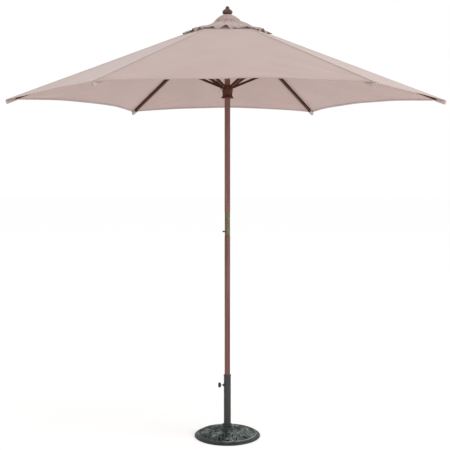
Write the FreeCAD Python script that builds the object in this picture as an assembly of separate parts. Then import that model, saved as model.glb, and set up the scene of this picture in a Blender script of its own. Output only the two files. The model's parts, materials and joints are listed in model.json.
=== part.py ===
"""Wooden patio umbrella on a round openwork cast base. Millimetres, +Z up, origin under the base's centre.

Rib 1 points along +X. Ribs, struts and canopy panels are modelled once along +X and then turned
about the pole. Each rib, its strut and the line between their two inner pivots are three sides of
a rhombus with its mirror image, so the angles of the fold stay in constant ratio.
"""
import FreeCAD
import Part
import math
import os
from FreeCAD import Vector

os.makedirs("parts", exist_ok=True)

UP = Vector(0, 0, 1)
ORIGIN = Vector(0, 0, 0)

# Canopy and its frame
RIBS = 6
SECTOR = 360.0 / RIBS
RIM_RADIUS = 1350.0            # pole axis to a canopy corner
APEX_Z = 2590.0                # where the fabric planes would meet
RIB_SLOPE = 20.1               # degrees below level, canopy open
FABRIC = 2.0
SEAM_GAP = 0.4                 # between neighbouring panels
HEM_RISE = 88.0                # how far the hem curves in between two corners
VENT_RADIUS = 195.0            # the opening under the vent cap

# Ribs and struts
RIB_WIDTH = 17.0
RIB_HEIGHT = 16.0
RIB_BELOW_FABRIC = 12.8        # rib centreline under the fabric plane, straight down
STRUT_WIDTH = 15.0
STRUT_HEIGHT = 14.0
TONGUE_WIDTH = 10.0
BAR_ROUND = 2.0                # rounding of the long edges
RIB_TONGUE = 26.0
STRUT_TONGUE = 22.0
PIVOT_RADIUS = 29.0            # inner pivots from the pole axis, at the top hub and at the runner
BRACKET_REACH = 525.0          # hub pivot to strut pivot, along the rib
BRACKET_DROP = 18.0            # strut pivot under the rib centreline
BRACKET_PLATE = 1.6
BRACKET_LENGTH = 44.0
PIN_RADIUS = 2.5
PIN_FIT = 0.05                 # radial running clearance on every hinge pin
SLOT_FIT = 0.4                 # each side of a tongue
RIB_END = (66.0, 12.0, 10.0)   # length, width and height of the tip inside its pocket
POCKET_WALL = 1.6
POCKET_FIT = 0.3
POCKET_SIZE = (22.0, 21.0)     # width and height outside
POCKET_TOP = 7.0               # above the rib's centreline

# Poles
POLE_RADIUS = 17.5
TENON_RADIUS = 15.1
SLEEVE_OUTER = 16.4
SLEEVE_INNER = 15.2
SLEEVE_LOW, SLEEVE_HIGH = 1260.0, 1409.0
POLE_MEET = 1335.0
LOWER_POLE_LOW = 52.0
POLE_TOP = 2608.0
THUMB_Z = 1289.0
THUMB_HEAD = (4.8, 9.0)        # radius and length of the knurled head

# Hub, runner and finial
HUB_RADIUS = 38.0
HUB_BELOW, HUB_ABOVE = 14.0, 16.0
RUNNER_RADIUS = 33.0
RUNNER_FLANGE = 37.5
RUNNER_BELOW, RUNNER_ABOVE = 65.0, 12.0
RUNNER_BORE = 17.9
FINIAL_LOW, FINIAL_TOP = 2612.0, 2663.0
LOCK_AZIMUTH = 210.0
LOCK_BELOW = 12.0              # lock pin under the runner's pivots
LOCK_RADIUS = 3.0
LOCK_TIP = POLE_RADIUS + 1.0   # the drawn-back pin's inner end
LOCK_TRAVEL = 11.0

# Base
BASE_RADIUS = 206.0
TUBE_OUTER, TUBE_INNER = 22.25, 20.25
TUBE_LOW, TUBE_TOP = 34.0, 384.0
BUSH_FLANGE = 23.8
CLAMP_Z = 322.0
CLAMP_SCREW_RADIUS = 3.0
KNOB_RADIUS = 17.0
KNOB_THICK = 18.0
KNOB_INNER = 40.0              # pole axis to the knob's near face
BOLT_RADIUS = 5.0

# Worked out from the above
SLOPE = math.radians(RIB_SLOPE)
HALF = math.radians(SECTOR / 2)
HUB_PIVOT_Z = APEX_Z - RIB_BELOW_FABRIC - PIVOT_RADIUS * math.tan(SLOPE)
LINK = math.hypot(BRACKET_REACH, BRACKET_DROP)
LINK_SLOPE = SLOPE + math.atan2(BRACKET_DROP, BRACKET_REACH)
RUNNER_PIVOT_Z = HUB_PIVOT_Z - 2 * LINK * math.sin(LINK_SLOPE)
FOLD = 66.5
FOLDED_DROP = 2 * LINK * (math.sin(LINK_SLOPE + math.radians(FOLD)) - math.sin(LINK_SLOPE))
RIB_LENGTH = (RIM_RADIUS - PIVOT_RADIUS) / math.cos(SLOPE) - POCKET_WALL - 4.0


# ---------------------------------------------------------------- helpers
def save(name, shape):
    shape.exportStep(f"parts/{name}.step")


def at_azimuth(shape, degrees):
    turned = shape.copy()
    turned.rotate(ORIGIN, UP, degrees)
    return turned


def tube(outer, inner, low, high):
    ring = Part.makeCylinder(outer, high - low, Vector(0, 0, low))
    return ring.cut(Part.makeCylinder(inner, high - low + 2, Vector(0, 0, low - 1)))


def block(x_range, width, z_range):
    """A box centred on the XZ plane."""
    size = (x_range[1] - x_range[0], width, z_range[1] - z_range[0])
    return Part.makeBox(*size, Vector(x_range[0], -width / 2, z_range[0]))


def cross_pin(radius, width, x=0.0, z=0.0):
    """A cylinder along Y, centred on the XZ plane."""
    return Part.makeCylinder(radius, width, Vector(x, -width / 2, z), Vector(0, 1, 0))


def turned_solid(edges):
    """Revolve a closed outline, given as edges in the XZ plane, about Z."""
    return Part.Face(Part.Wire(edges)).revolve(ORIGIN, UP, 360)


def line(a, b):
    return Part.makeLine(Vector(a[0], 0, a[1]), Vector(b[0], 0, b[1]))


def bow(a, middle, b):
    points = [Vector(p[0], 0, p[1]) for p in (a, middle, b)]
    return Part.Arc(*points).toShape()


def smooth(points):
    curve = Part.BSplineCurve()
    curve.interpolate([Vector(r, 0, z) for r, z in points])
    return curve.toShape()


def outline(points):
    """Straight edges through (radius, height) points, closed."""
    return [line(a, b) for a, b in zip(points, points[1:] + points[:1])]


def long_edges(shape, length):
    """The edges of a bar along X that run its whole length."""
    return [e for e in shape.Edges if abs(e.tangentAt(e.FirstParameter).x) > 0.999
            and e.Length > length * 0.9]


def bar(start, end, width, height, rounding=BAR_ROUND):
    body = block((start, end), width, (-height / 2, height / 2))
    return body.makeFillet(rounding, long_edges(body, end - start))


def tongue(reach, height, bore):
    """A flat rounded end about the Y axis, bored for its pin and reaching out along +X."""
    plate = block((0, reach), TONGUE_WIDTH, (-height / 2, height / 2))
    plate = plate.fuse(cross_pin(height / 2, TONGUE_WIDTH)).removeSplitter()
    return plate.cut(cross_pin(bore, TONGUE_WIDTH + 2))


def on_rib(shape):
    """Move a shape from the rib's own frame, with its pivot at the origin, to rib 1."""
    placed = shape.copy()
    placed.rotate(ORIGIN, Vector(0, 1, 0), RIB_SLOPE)
    placed.translate(Vector(PIVOT_RADIUS, 0, HUB_PIVOT_Z))
    return placed


# ---------------------------------------------------------------- base
def petal(inner, outer, azimuth, width, lean):
    """A leaf-shaped cutter between two radii. Lean bends it sideways, in degrees."""
    def polar(radius, degrees):
        angle = math.radians(azimuth + degrees)
        return Vector(radius * math.cos(angle), radius * math.sin(angle), 0)

    middle = (inner + outer) / 2
    half = math.degrees(width / 2 / middle)
    tip, root = polar(outer, lean), polar(inner, -lean)
    sides = [Part.Arc(root, polar(middle, lean * bend + side * half), tip).toShape()
             for side, bend in ((1, 1.0), (-1, 1.0))]
    return Part.Face(Part.Wire(sides)).extrude(Vector(0, 0, 90))


def openwork():
    """Leaf-shaped openings, mirrored about each of the six spokes of the pattern."""
    leaves = [
        # inner, outer, azimuth, width, lean
        (130, 174, 7.5, 20, 3.5),
        (132, 174, 19.5, 19, -3.0),
        (92, 128, 12.5, 18, 4.0),
        (100, 131, 25.0, 12, -1.5),
        (60, 88, 18.0, 11, 2.0),
        (43, 57, 15.0, 8, 0.0),
    ]
    centres = [(64, 100, 0, 14, 0.0), (110, 128, 0, 10, 0.0), (138, 176, 30, 16, 0.0), (62, 90, 30, 9, 0.0)]
    one = [petal(*leaf) for leaf in leaves]
    one += [petal(low, high, -azimuth, width, -lean) for low, high, azimuth, width, lean in leaves]
    one += [petal(*leaf) for leaf in centres]
    return [at_azimuth(cutter, SECTOR * n) for n in range(RIBS) for cutter in one]


def base_casting():
    rim_top, plate_out, plate_in, boss_top, boss = 8.0, 178.0, 37.0, 74.0, 31.0
    socket_floor, boss_floor, socket = TUBE_LOW - 0.1, 20.0, TUBE_OUTER + 0.1
    hole = BOLT_RADIUS + 0.3
    edges = [
        line((BASE_RADIUS - 18, 0), (BASE_RADIUS - 3, 0)),
        bow((BASE_RADIUS - 3, 0), (BASE_RADIUS, 3), (BASE_RADIUS - 2, rim_top - 2)),
        bow((BASE_RADIUS - 2, rim_top - 2), (192, 13), (181, 17)),
        line((181, 17), (plate_out, 14)),
        bow((plate_out, 14), (118, 32), (plate_in, 39)),
        line((plate_in, 39), (plate_in, 43)),
        bow((plate_in, 43), (plate_in - 1, 46), (plate_in - 3, 47)),
        line((plate_in - 3, 47), (boss + 1, 50)),
        bow((boss + 1, 50), (boss - 1.5, 56), (boss - 1, 63)),
        line((boss - 1, 63), (boss, 65)),
        line((boss, 65), (boss, 70)),
        bow((boss, 70), (boss - 1, 73), (boss - 4, boss_top)),
        line((boss - 4, boss_top), (socket, boss_top)),
        line((socket, boss_top), (socket, socket_floor)),
        line((socket, socket_floor), (hole, socket_floor)),
        line((hole, socket_floor), (hole, boss_floor)),
        line((hole, boss_floor), (boss, boss_floor)),
        line((boss, boss_floor), (plate_in + 3, 29)),
        bow((plate_in + 3, 29), (118, 22), (172, 6)),
        line((172, 6), (BASE_RADIUS - 18, 0)),
    ]
    casting = turned_solid(edges)
    for cutter in openwork():
        casting = casting.cut(cutter)
    return casting


def base_tube():
    wall = tube(TUBE_OUTER, TUBE_INNER, TUBE_LOW, TUBE_TOP)
    return wall.cut(Part.makeCylinder(CLAMP_SCREW_RADIUS + 0.3, 10, Vector(-TUBE_INNER + 4, 0, CLAMP_Z),
                                      Vector(-1, 0, 0)))


def tube_bush():
    """The plastic ring in the tube's mouth, which centres the pole."""
    edges = outline([(17.9, 340), (20.1, 340), (20.1, TUBE_TOP + 0.1), (BUSH_FLANGE, TUBE_TOP + 0.1),
                     (BUSH_FLANGE, TUBE_TOP + 3), (22.5, TUBE_TOP + 5), (17.9, TUBE_TOP + 5)])
    return turned_solid(edges)


def tube_plug():
    return tube(TUBE_INNER - 0.1, BOLT_RADIUS + 0.05, TUBE_LOW, TUBE_LOW + 16)


def hexagon(flats, low, high):
    corner = flats / math.sqrt(3)
    points = [Vector(corner * math.cos(math.radians(60 * n)), corner * math.sin(math.radians(60 * n)), low)
              for n in range(7)]
    return Part.Face(Part.makePolygon(points)).extrude(Vector(0, 0, high - low))


def base_bolt():
    head_low, washer_low = 10.5, 17.5
    shank = Part.makeCylinder(BOLT_RADIUS, TUBE_LOW + 12 - washer_low, Vector(0, 0, washer_low))
    return hexagon(17, head_low, washer_low).fuse(shank).removeSplitter()


def base_washer():
    return tube(12, BOLT_RADIUS + 0.3, 17.55, 19.95)


def clamp_boss():
    boss = Part.makeCylinder(7.5, 7.5, Vector(-TUBE_OUTER + 1, 0, CLAMP_Z), Vector(-1, 0, 0))
    boss = boss.cut(Part.makeCylinder(TUBE_OUTER + 0.05, 40, Vector(0, 0, CLAMP_Z - 20)))
    thread = Part.makeCylinder(CLAMP_SCREW_RADIUS + 0.1, 20, Vector(-15, 0, CLAMP_Z), Vector(-1, 0, 0))
    return boss.cut(thread)


def clamp_screw():
    tip = POLE_RADIUS + 0.3
    return Part.makeCylinder(CLAMP_SCREW_RADIUS, KNOB_INNER + 8 - tip, Vector(-tip, 0, CLAMP_Z),
                             Vector(-1, 0, 0))


def clamp_knob():
    """A five-lobed hand knob, modelled upright and then laid along -X."""
    lobes, lobe_radius = 5, 6.0
    knob = Part.makeCylinder(12.5, KNOB_THICK)
    for n in range(lobes):
        angle = 2 * math.pi * n / lobes
        reach = KNOB_RADIUS - lobe_radius
        knob = knob.fuse(Part.makeCylinder(lobe_radius, KNOB_THICK,
                                           Vector(reach * math.cos(angle), reach * math.sin(angle), 0)))
    rim = KNOB_RADIUS + 1
    crown = turned_solid([line((0, 0), (10, 0)), line((10, 0), (rim, 6)), line((rim, 6), (rim, 10)),
                          bow((rim, 10), (12, 16), (0, KNOB_THICK)), line((0, KNOB_THICK), (0, 0))])
    knob = knob.removeSplitter().common(crown)
    knob = knob.cut(Part.makeCylinder(CLAMP_SCREW_RADIUS + 0.05, 8.1, Vector(0, 0, -0.05)))
    knob.rotate(ORIGIN, Vector(0, 1, 0), -90)
    knob.translate(Vector(-KNOB_INNER, 0, CLAMP_Z))
    return knob


# ---------------------------------------------------------------- poles
def lower_pole():
    shoulder = SLEEVE_LOW - 0.3
    edges = [line((0, LOWER_POLE_LOW), (POLE_RADIUS - 2, LOWER_POLE_LOW)),
             line((POLE_RADIUS - 2, LOWER_POLE_LOW), (POLE_RADIUS, LOWER_POLE_LOW + 3)),
             line((POLE_RADIUS, LOWER_POLE_LOW + 3), (POLE_RADIUS, shoulder - 1)),
             line((POLE_RADIUS, shoulder - 1), (POLE_RADIUS - 1, shoulder)),
             line((POLE_RADIUS - 1, shoulder), (TENON_RADIUS, shoulder)),
             line((TENON_RADIUS, shoulder), (TENON_RADIUS, POLE_MEET - 4)),
             line((TENON_RADIUS, POLE_MEET - 4), (TENON_RADIUS - 3, POLE_MEET - 0.5)),
             line((TENON_RADIUS - 3, POLE_MEET - 0.5), (0, POLE_MEET - 0.5)),
             line((0, POLE_MEET - 0.5), (0, LOWER_POLE_LOW))]
    return turned_solid(edges)


def brass_sleeve():
    sleeve = tube(SLEEVE_OUTER, SLEEVE_INNER, SLEEVE_LOW, SLEEVE_HIGH)
    for z in (SLEEVE_LOW + 2.5, SLEEVE_HIGH - 2.5):
        bead = Part.makeTorus(SLEEVE_OUTER - 0.4, 1.2, Vector(0, 0, z))
        sleeve = sleeve.fuse(bead.cut(Part.makeCylinder(SLEEVE_INNER, 10, Vector(0, 0, z - 5))))
    boss = Part.makeCylinder(5.0, 5.0, Vector(-SLEEVE_INNER - 0.5, 0, THUMB_Z), Vector(-1, 0, 0))
    sleeve = sleeve.fuse(boss.cut(Part.makeCylinder(SLEEVE_INNER, 20, Vector(0, 0, THUMB_Z - 10))))
    sleeve = sleeve.cut(Part.makeCylinder(2.05, 20, Vector(-10, 0, THUMB_Z), Vector(-1, 0, 0)))
    for pin in sleeve_pin_places():
        sleeve = sleeve.cut(pin)
    return sleeve.removeSplitter()


def sleeve_pin_places():
    """Two pins through the sleeve and the upper pole's tenon, at right angles to each other."""
    width = 2 * SLEEVE_OUTER
    across = [cross_pin(1.5, width), at_azimuth(cross_pin(1.5, width), 90)]
    for pin, z in zip(across, (SLEEVE_HIGH - 18, SLEEVE_HIGH - 40)):
        pin.translate(Vector(0, 0, z))
    return across


def thumb_screw():
    radius, length = THUMB_HEAD
    head_at = SLEEVE_INNER + 6.0
    head = Part.makeCylinder(radius, length, Vector(-head_at, 0, THUMB_Z), Vector(-1, 0, 0))
    for n in range(12):
        groove = Part.makeCylinder(0.5, length + 2, Vector(-head_at + 1, radius + 0.15, THUMB_Z),
                                   Vector(-1, 0, 0))
        groove.rotate(Vector(0, 0, THUMB_Z), Vector(1, 0, 0), 30 * n)
        head = head.cut(groove)
    shank = Part.makeCylinder(2.0, head_at - TENON_RADIUS - 0.2, Vector(-head_at, 0, THUMB_Z),
                              Vector(1, 0, 0))
    return head.fuse(shank)


def lock_hole(pivot_z):
    bottom = LOCK_TIP - LOCK_TRAVEL - 0.5
    hole = Part.makeCylinder(LOCK_RADIUS + 0.3, POLE_RADIUS + 2 - bottom,
                             Vector(bottom, 0, pivot_z - LOCK_BELOW), Vector(1, 0, 0))
    return at_azimuth(hole, LOCK_AZIMUTH)


def upper_pole():
    low, shoulder = POLE_MEET + 0.5, SLEEVE_HIGH + 0.3
    edges = [line((0, low), (TENON_RADIUS - 3, low)), line((TENON_RADIUS - 3, low), (TENON_RADIUS, low + 4)),
             line((TENON_RADIUS, low + 4), (TENON_RADIUS, shoulder)),
             line((TENON_RADIUS, shoulder), (POLE_RADIUS - 1, shoulder)),
             line((POLE_RADIUS - 1, shoulder), (POLE_RADIUS, shoulder + 1)),
             line((POLE_RADIUS, shoulder + 1), (POLE_RADIUS, POLE_TOP)),
             line((POLE_RADIUS, POLE_TOP), (0, POLE_TOP)), line((0, POLE_TOP), (0, low))]
    pole = turned_solid(edges)
    pole = pole.cut(Part.makeCylinder(4.1, 30, Vector(0, 0, POLE_TOP - 25)))
    for pivot_z in (RUNNER_PIVOT_Z, RUNNER_PIVOT_Z - FOLDED_DROP):
        pole = pole.cut(lock_hole(pivot_z))
    for pin in sleeve_pin_places():
        pole = pole.cut(pin)
    return pole


# ---------------------------------------------------------------- hub, runner and finial
def slots(low, high, tongue_height):
    """Six radial slots for the rounded ends of the ribs or struts."""
    inner = PIVOT_RADIUS - tongue_height / 2 - 0.8
    slot = block((inner, HUB_RADIUS + 20), TONGUE_WIDTH + 2 * SLOT_FIT, (low, high))
    return [at_azimuth(slot, SECTOR * n) for n in range(RIBS)]


def pivot_pins(z):
    """The pins that run across the slots, one for each rib or strut."""
    return [at_azimuth(cross_pin(PIN_RADIUS, 22, PIVOT_RADIUS, z), SECTOR * n) for n in range(RIBS)]


def pinned(body, z):
    for pin in pivot_pins(z):
        body = body.cut(pin)
    return body


def top_hub():
    low, high = HUB_PIVOT_Z - HUB_BELOW, HUB_PIVOT_Z + HUB_ABOVE
    bore = POLE_RADIUS + 0.05
    edges = [line((bore, low), (HUB_RADIUS - 3, low)),
             bow((HUB_RADIUS - 3, low), (HUB_RADIUS - 0.9, low + 0.9), (HUB_RADIUS, low + 3)),
             line((HUB_RADIUS, low + 3), (HUB_RADIUS, high - 9)),
             bow((HUB_RADIUS, high - 9), (HUB_RADIUS - 4, high - 2), (HUB_RADIUS - 11, high)),
             line((HUB_RADIUS - 11, high), (bore, high)), line((bore, high), (bore, low))]
    hub = turned_solid(edges)
    for slot in slots(low - 1, HUB_PIVOT_Z + RIB_HEIGHT / 2 + 1.2, RIB_HEIGHT):
        hub = hub.cut(slot)
    return pinned(hub, HUB_PIVOT_Z)


def runner():
    low, high = RUNNER_PIVOT_Z - RUNNER_BELOW, RUNNER_PIVOT_Z + RUNNER_ABOVE
    edges = [line((RUNNER_BORE, low), (RUNNER_FLANGE - 1.5, low)),
             bow((RUNNER_FLANGE - 1.5, low), (RUNNER_FLANGE, low + 4), (RUNNER_FLANGE - 1, low + 9)),
             bow((RUNNER_FLANGE - 1, low + 9), (RUNNER_RADIUS - 1.5, low + 13),
                 (RUNNER_RADIUS - 3, low + 20)),
             bow((RUNNER_RADIUS - 3, low + 20), (RUNNER_RADIUS - 2, low + 34), (RUNNER_RADIUS, low + 44)),
             line((RUNNER_RADIUS, low + 44), (RUNNER_RADIUS, high - 2)),
             line((RUNNER_RADIUS, high - 2), (RUNNER_RADIUS - 2, high)),
             line((RUNNER_RADIUS - 2, high), (RUNNER_BORE, high)),
             line((RUNNER_BORE, high), (RUNNER_BORE, low))]
    body = turned_solid(edges)
    for slot in slots(RUNNER_PIVOT_Z - STRUT_HEIGHT / 2 - 1.2, high + 1, STRUT_HEIGHT):
        body = body.cut(slot)
    hole = Part.makeCylinder(LOCK_RADIUS + 0.05, 40, Vector(10, 0, RUNNER_PIVOT_Z - LOCK_BELOW),
                             Vector(1, 0, 0))
    return pinned(body, RUNNER_PIVOT_Z).cut(at_azimuth(hole, LOCK_AZIMUTH))


def lock_pin():
    """Drawn back in the runner, clear of the pole: it pushes in towards the pole's axis."""
    z, head_at, head = RUNNER_PIVOT_Z - LOCK_BELOW, 46.0, 6.0
    shank = Part.makeCylinder(LOCK_RADIUS, head_at - LOCK_TIP, Vector(LOCK_TIP, 0, z), Vector(1, 0, 0))
    cap = Part.makeCylinder(head, 3, Vector(head_at, 0, z), Vector(1, 0, 0))
    ear = block((head_at + 3, head_at + 11), 3, (z - 4, z + 4))
    ear = ear.makeFillet(3.5, [e for e in ear.Edges if abs(e.tangentAt(e.FirstParameter).y) > 0.9
                               and e.CenterOfMass.x > head_at + 5])
    pin = shank.fuse(cap).fuse(ear)
    return at_azimuth(pin.cut(cross_pin(1.5, 10, head_at + 7, z)).removeSplitter(), LOCK_AZIMUTH)


def lock_ring():
    """A wire ring through the pin's ear, hanging square to the pin."""
    z, centre, radius, wire = RUNNER_PIVOT_Z - LOCK_BELOW, 53.0, 14.0, 1.0
    ring = Part.makeTorus(radius, wire, Vector(centre, 0, z - radius + 0.4), Vector(1, 0, 0))
    return at_azimuth(ring, LOCK_AZIMUTH)


def finial():
    low, top = FINIAL_LOW, FINIAL_TOP
    bulb = [(24, low), (28, low + 6), (31.5, low + 15), (28.5, low + 23), (19.5, low + 31), (12, low + 37)]
    knob = [(12, low + 37), (11.8, low + 42), (9, low + 47.5), (4.5, top)]
    edges = [line((0, low), bulb[0]), smooth(bulb), smooth(knob), line(knob[-1], (0, top)),
             line((0, top), (0, low))]
    return turned_solid(edges).cut(Part.makeCylinder(4.1, 22, Vector(0, 0, low - 1)))


def finial_stud():
    return Part.makeCylinder(4.0, FINIAL_LOW + 20 - (POLE_TOP - 24), Vector(0, 0, POLE_TOP - 24))


def crown_washer():
    return tube(22, 4.3, POLE_TOP + 0.05, POLE_TOP + 1.5)


def vent_crown():
    """The fabric peak between the finial and the first of the vent flaps."""
    top = FINIAL_LOW - 0.2
    edges = [line((4.6, top - FABRIC), (4.6, top)), line((4.6, top), (26, top)),
             bow((26, top), (52, top - 15), (78, top - 38)),
             bow((78, top - 38), (91, top - 49), (106, top - 56)),
             line((106, top - 56), (106, top - 56 - FABRIC)),
             bow((106, top - 56 - FABRIC), (90.5, top - 49 - FABRIC), (77, top - 38 - FABRIC)),
             bow((77, top - 38 - FABRIC), (51, top - 15 - FABRIC), (26, top - FABRIC)),
             line((26, top - FABRIC), (4.6, top - FABRIC))]
    return turned_solid(edges)


# ---------------------------------------------------------------- ribs and struts
def rib():
    """A wooden rib in its own frame: pivot at the origin, reaching along +X."""
    end_length, end_width, end_height = RIB_END
    shoulder = RIB_LENGTH - end_length
    body = bar(RIB_TONGUE, shoulder, RIB_WIDTH, RIB_HEIGHT)
    tip = bar(shoulder - 1, RIB_LENGTH, end_width, end_height, 1.5)
    root = tongue(RIB_TONGUE + 1, RIB_HEIGHT, PIN_RADIUS + PIN_FIT)
    return body.fuse(tip).fuse(root).removeSplitter()


def rib_bracket():
    """Folded steel bracket under the rib, with its pin and two screws."""
    under, half = -RIB_HEIGHT / 2 - 0.05, BRACKET_LENGTH / 2
    inside = TONGUE_WIDTH / 2 + SLOT_FIT
    plate = block((BRACKET_REACH - half, BRACKET_REACH + half), 2 * (inside + BRACKET_PLATE),
                  (under - BRACKET_PLATE, under))
    bracket = plate
    for side in (-1, 1):
        cheek = block((BRACKET_REACH - 8, BRACKET_REACH + 8), BRACKET_PLATE, (-BRACKET_DROP, under))
        cheek = cheek.fuse(cross_pin(8, BRACKET_PLATE, BRACKET_REACH, -BRACKET_DROP))
        cheek.translate(Vector(0, side * (inside + BRACKET_PLATE / 2), 0))
        bracket = bracket.fuse(cheek)
    bracket = bracket.fuse(cross_pin(PIN_RADIUS, 2 * inside + 2 * BRACKET_PLATE + 3, BRACKET_REACH,
                                     -BRACKET_DROP))
    for x in (BRACKET_REACH - 16, BRACKET_REACH + 16):
        head = Part.makeSphere(4.0, Vector(x, 0, under - BRACKET_PLATE + 2.2))
        keep = Part.makeCylinder(4.2, 3, Vector(x, 0, under - BRACKET_PLATE - 3))
        bracket = bracket.fuse(head.common(keep))
    return bracket.removeSplitter()


def strut():
    """A strut in its own frame: runner pivot at the origin, rib pivot along +X."""
    body = bar(STRUT_TONGUE, LINK - STRUT_TONGUE, STRUT_WIDTH, STRUT_HEIGHT)
    for turn, x in ((0, 0.0), (180, LINK)):
        end = tongue(STRUT_TONGUE + 1, STRUT_HEIGHT, PIN_RADIUS + PIN_FIT)
        end.rotate(ORIGIN, UP, turn)
        end.translate(Vector(x, 0, 0))
        body = body.fuse(end)
    body = body.removeSplitter()
    body.rotate(ORIGIN, Vector(0, 1, 0), -math.degrees(LINK_SLOPE))
    body.translate(Vector(PIVOT_RADIUS, 0, RUNNER_PIVOT_Z))
    return body


# ---------------------------------------------------------------- canopy
def half_panel(apex_z, rib_slope, inner, outer, rise, side):
    """Half a gore, from rib 1 to the gore's middle. Inner and outer are radii along the rib."""
    gore_slope = math.atan(math.tan(rib_slope) / math.cos(HALF))
    down = Vector(math.cos(gore_slope) * math.cos(HALF), side * math.cos(gore_slope) * math.sin(HALF),
                  -math.sin(gore_slope))
    across = Vector(-math.sin(HALF), side * math.cos(HALF), 0)
    apex = Vector(0, 0, apex_z)

    def place(u, w):
        return apex + down * w + across * u

    def chord(radius):
        """Half the rib-to-rib chord at this radius, and its distance down the gore."""
        return radius * math.sin(HALF), radius * math.cos(HALF) / math.cos(gore_slope)

    half_in, down_in = chord(inner)
    half_out, down_out = chord(outer)
    middle = -SEAM_GAP / 2
    corners = [place(-half_in, down_in), place(-half_out, down_out)]
    if rise:
        radius = (half_out ** 2 + rise ** 2) / (2 * rise)
        centre = down_out - rise + radius
        hem = [place(u, centre - math.sqrt(radius ** 2 - u ** 2)) for u in (-half_out / 2, middle)]
        outer_edge = Part.Arc(corners[1], *hem).toShape()
    else:
        hem = [None, place(middle, down_out)]
        outer_edge = Part.makeLine(corners[1], hem[1])
    inner_end = place(middle, down_in)
    face = Part.Face(Part.Wire([Part.makeLine(*corners), outer_edge, Part.makeLine(hem[1], inner_end),
                                Part.makeLine(inner_end, corners[0])]))
    return face.extrude(Vector(0, 0, -FABRIC))


def panel(apex_z, rib_slope, inner, outer, rise):
    """The fabric that one rib carries: half a gore on each side of it."""
    sides = [half_panel(apex_z, rib_slope, inner, outer, rise, side) for side in (-1, 1)]
    return sides[0].fuse(sides[1])


def vent_flap():
    """The vent cap's skirt, which starts low on the rib and lifts clear of the canopy at its hem."""
    start, hem, start_lift, hem_lift = 109.0, 275.0, 0.5, 8.0
    heights = [APEX_Z + lift - r * math.tan(SLOPE) for r, lift in ((start, start_lift), (hem, hem_lift))]
    slope = (heights[0] - heights[1]) / (hem - start)
    return panel(heights[0] + start * slope, math.atan(slope), start, hem, 0)


def tip_pocket():
    """The sewn pocket at a canopy corner, over the end of the rib."""
    length, width, height = RIB_END
    low, high = RIB_LENGTH - length + 8, RIB_LENGTH + POCKET_WALL + 4.0
    outer = bar(low, high, *POCKET_SIZE, 4.0)
    outer.translate(Vector(0, 0, POCKET_TOP - POCKET_SIZE[1] / 2))
    hollow = block((low - 1, RIB_LENGTH + POCKET_FIT), width + 2 * POCKET_FIT,
                   (-height / 2 - POCKET_FIT, height / 2 + POCKET_FIT))
    return outer.cut(hollow)


# ---------------------------------------------------------------- write every part
def main():
    save("base_casting", base_casting())
    save("base_tube", base_tube())
    save("tube_plug", tube_plug())
    save("tube_bush", tube_bush())
    save("base_bolt", base_bolt())
    save("base_washer", base_washer())
    save("clamp_boss", clamp_boss())
    save("clamp_screw", clamp_screw())
    save("clamp_knob", clamp_knob())
    save("lower_pole", lower_pole())
    save("brass_sleeve", brass_sleeve())
    save("sleeve_pins", Part.makeCompound(sleeve_pin_places()))
    save("thumb_screw", thumb_screw())
    save("upper_pole", upper_pole())
    save("top_hub", top_hub())
    save("hub_pins", Part.makeCompound(pivot_pins(HUB_PIVOT_Z)))
    save("finial", finial())
    save("finial_stud", finial_stud())
    save("crown_washer", crown_washer())
    save("vent_crown", vent_crown())
    save("runner", runner())
    save("runner_pins", Part.makeCompound(pivot_pins(RUNNER_PIVOT_Z)))
    save("lock_pin", lock_pin())
    save("lock_ring", lock_ring())
    per_rib = {
        "rib": on_rib(rib()),
        "rib_bracket": on_rib(rib_bracket()),
        "strut": strut(),
        "canopy": panel(APEX_Z, SLOPE, VENT_RADIUS, RIM_RADIUS, HEM_RISE),
        "vent_flap": vent_flap(),
        "tip_pocket": on_rib(tip_pocket()),
    }
    for name, shape in per_rib.items():
        for n in range(RIBS):
            save(f"{name}_{n + 1}", at_azimuth(shape, SECTOR * n))


main()
print(f"hub pivot z {HUB_PIVOT_Z:.3f}, runner pivot z {RUNNER_PIVOT_Z:.3f}, link {LINK:.3f}")
print(f"link slope {math.degrees(LINK_SLOPE):.4f}, folded drop {FOLDED_DROP:.3f}, rib {RIB_LENGTH:.3f}")
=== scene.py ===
"""Looks of the patio umbrella: cloth, wood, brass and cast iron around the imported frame. Metres, +Z up.

The cloth is one continuous surface, cut only where it has to fold: along each rib and down the
middle of each gore. The two sides of a cut share their points and their normals.
"""

import json
import math

import bpy
import numpy as np
from mathutils import Euler, Matrix, Vector

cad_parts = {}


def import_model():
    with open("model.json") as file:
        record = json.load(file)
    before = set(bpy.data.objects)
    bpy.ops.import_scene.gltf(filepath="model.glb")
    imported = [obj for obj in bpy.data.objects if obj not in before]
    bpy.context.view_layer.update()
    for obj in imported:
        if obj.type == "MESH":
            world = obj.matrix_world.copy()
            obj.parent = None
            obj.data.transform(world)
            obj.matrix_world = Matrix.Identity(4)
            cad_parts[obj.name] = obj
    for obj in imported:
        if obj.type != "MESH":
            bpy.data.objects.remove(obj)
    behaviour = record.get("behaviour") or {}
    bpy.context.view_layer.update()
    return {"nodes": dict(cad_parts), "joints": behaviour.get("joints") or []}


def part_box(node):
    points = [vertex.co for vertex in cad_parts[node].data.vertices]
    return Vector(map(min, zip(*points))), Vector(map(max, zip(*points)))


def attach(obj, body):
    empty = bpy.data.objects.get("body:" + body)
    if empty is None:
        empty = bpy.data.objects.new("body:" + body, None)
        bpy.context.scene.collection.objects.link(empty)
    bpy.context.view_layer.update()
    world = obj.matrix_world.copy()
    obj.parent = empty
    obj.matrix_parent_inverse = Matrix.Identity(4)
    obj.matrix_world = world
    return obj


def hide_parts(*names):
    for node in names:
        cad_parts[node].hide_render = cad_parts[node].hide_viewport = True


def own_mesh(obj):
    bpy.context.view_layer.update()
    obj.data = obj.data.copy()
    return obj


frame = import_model()

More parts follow.
